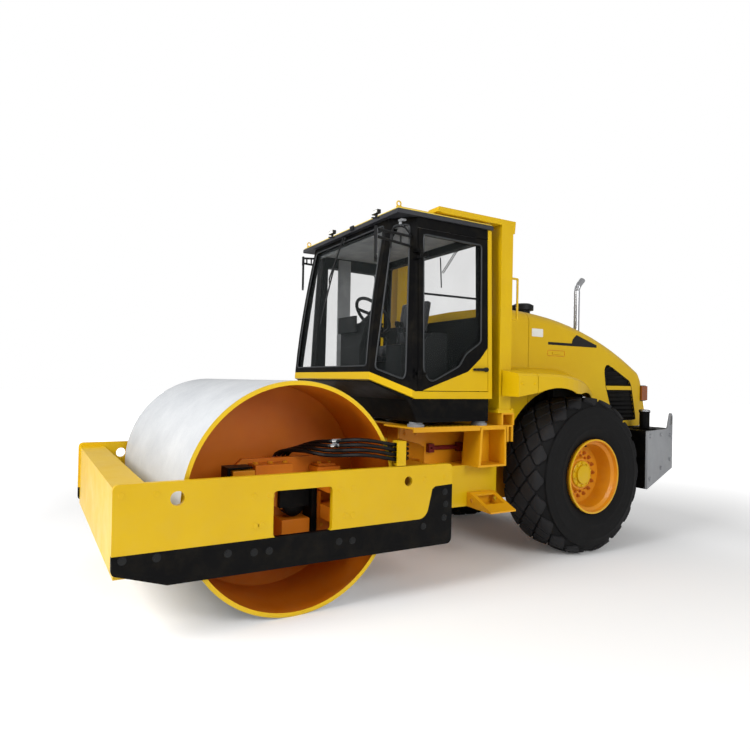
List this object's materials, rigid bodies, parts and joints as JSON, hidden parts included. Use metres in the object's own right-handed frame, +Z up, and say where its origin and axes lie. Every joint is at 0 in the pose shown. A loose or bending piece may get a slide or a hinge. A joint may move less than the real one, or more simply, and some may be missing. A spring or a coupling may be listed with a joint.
{
  "type": "road roller",
  "caption": "Single-drum road roller: steel drum in a front frame that articulates, glazed cab, tilting rear hood, rear tyres.",
  "frame": {"origin": "on the ground in the middle of the machine's length and width, parked straight", "axes": "+X to the driver's left, +Y to the rear (the drum leads at -Y), +Z up"},
  "size_m": [2.272, 5.885, 3.07],
  "materials": {
    "yellow_paint": "semi-gloss yellow paint",
    "orange_paint": "semi-gloss orange-yellow paint",
    "black_paint": "satin black paint",
    "grey_paint": "satin grey paint",
    "roof_grey": "satin dark grey",
    "red_paint": "satin dark red paint",
    "drum_steel": "worn smooth rolled steel",
    "bare_steel": "bright steel tube",
    "chrome_rod": "polished",
    "tyre_rubber": "matte black",
    "hose_rubber": "matte black",
    "black_plastic": "matte black",
    "lamp_lens": "glossy red and amber",
    "seat_fabric": "woven dark grey",
    "glass": "clear, slightly tinted"
  },
  "bodies": {
    "rear_frame": {"rear_chassis": "orange_paint", "deck": "yellow_paint", "steps": "yellow_paint", "cab_mounts": "hose_rubber", "rear_axle": "orange_paint", "engine_block": "grey_paint", "counterweight": "black_paint", "counterweight_plates": "grey_paint", "lock_bar": "red_paint", "cab_floor": "black_paint", "cab_sill": "yellow_paint", "cab_frame": "black_paint", "cab_roof": "roof_grey", "cab_glass": "glass", "rops_frame": "yellow_paint", "cowl": "yellow_paint", "driver_seat": "black_plastic", "seat_cushions": "seat_fabric", "console": "black_plastic", "steering_wheel": "black_plastic", "mirrors": "black_plastic", "wipers": "black_plastic"},
    "front_frame": {"side_plates": "yellow_paint", "side_bands": "black_paint", "front_beam": "yellow_paint", "rear_beam": "orange_paint", "drum_carriers": "orange_paint", "scrapers": "black_paint", "drum_hoses": "hose_rubber", "hose_clamp": "yellow_paint"},
    "drum": {"drum_shell": "drum_steel", "drum_lining": "orange_paint", "drum_heads": "orange_paint"},
    "hood": {"hood": "yellow_paint", "hood_fenders": "yellow_paint", "hood_grilles": "black_paint", "tail_lights": "lamp_lens", "exhaust_stack": "bare_steel", "air_intake": "black_plastic"},
    "door": {"door": "black_paint", "door_panel": "yellow_paint", "door_glass": "glass"},
    "wheel_left": {"tyre_left": "tyre_rubber", "rim_left": "orange_paint"},
    "wheel_right": {"tyre_right": "tyre_rubber", "rim_right": "orange_paint"},
    "barrel_left": {"steer_barrel_left": "black_paint"},
    "barrel_right": {"steer_barrel_right": "black_paint"},
    "rod_left": {"steer_rod_left": "chrome_rod"},
    "rod_right": {"steer_rod_right": "chrome_rod"}
  },
  "joints": [
    {"name": "steering", "type": "hinge", "parent": "rear_frame", "child": "front_frame", "pos_m": [0, -0.1375, 0.725], "axis": [0, 0, 1], "range_deg": [-33, 33]},
    {"name": "drum_roll", "type": "hinge", "parent": "front_frame", "child": "drum", "pos_m": [0, -1.7375, 0.8], "axis": [1, 0, 0], "continuous": true},
    {"name": "wheel_left_roll", "type": "hinge", "parent": "rear_frame", "child": "wheel_left", "pos_m": [0.8, 1.3885, 0.745], "axis": [1, 0, 0], "continuous": true},
    {"name": "wheel_right_roll", "type": "hinge", "parent": "rear_frame", "child": "wheel_right", "pos_m": [-0.8, 1.3885, 0.745], "axis": [1, 0, 0], "continuous": true},
    {"name": "door_swing", "type": "hinge", "parent": "rear_frame", "child": "door", "pos_m": [0.882, -0.5795, 2.1], "axis": [0, 0, -1], "range_deg": [0, 95]},
    {"name": "hood_tilt", "type": "hinge", "parent": "rear_frame", "child": "hood", "pos_m": [0, 2.8325, 1.19], "axis": [-1, 0, 0], "range_deg": [0, 50]},
    {"name": "barrel_left_swing", "type": "hinge", "parent": "rear_frame", "child": "barrel_left", "pos_m": [0.25, 0.6125, 0.52], "axis": [0, 0, 1], "range_deg": [-9.17, 9.17]},
    {"name": "barrel_right_swing", "type": "hinge", "parent": "rear_frame", "child": "barrel_right", "pos_m": [-0.25, 0.6125, 0.52], "axis": [0, 0, 1], "range_deg": [-9.17, 9.17]},
    {"name": "rod_left_slide", "type": "slide", "parent": "barrel_left", "child": "rod_left", "axis": [0.0195, -0.9998, 0], "range_m": [-0.1509, 0.1509]},
    {"name": "rod_right_slide", "type": "slide", "parent": "barrel_right", "child": "rod_right", "axis": [-0.0195, -0.9998, 0], "range_m": [-0.1509, 0.1509]}
  ],
  "couplings": [
    {"joint": "barrel_left_swing", "follows": "steering", "ratio": 0.2629},
    {"joint": "barrel_right_swing", "follows": "steering", "ratio": 0.2629},
    {"joint": "rod_left_slide", "follows": "steering", "m_per_rad": -0.2586},
    {"joint": "rod_right_slide", "follows": "steering", "m_per_rad": 0.2586}
  ]
}
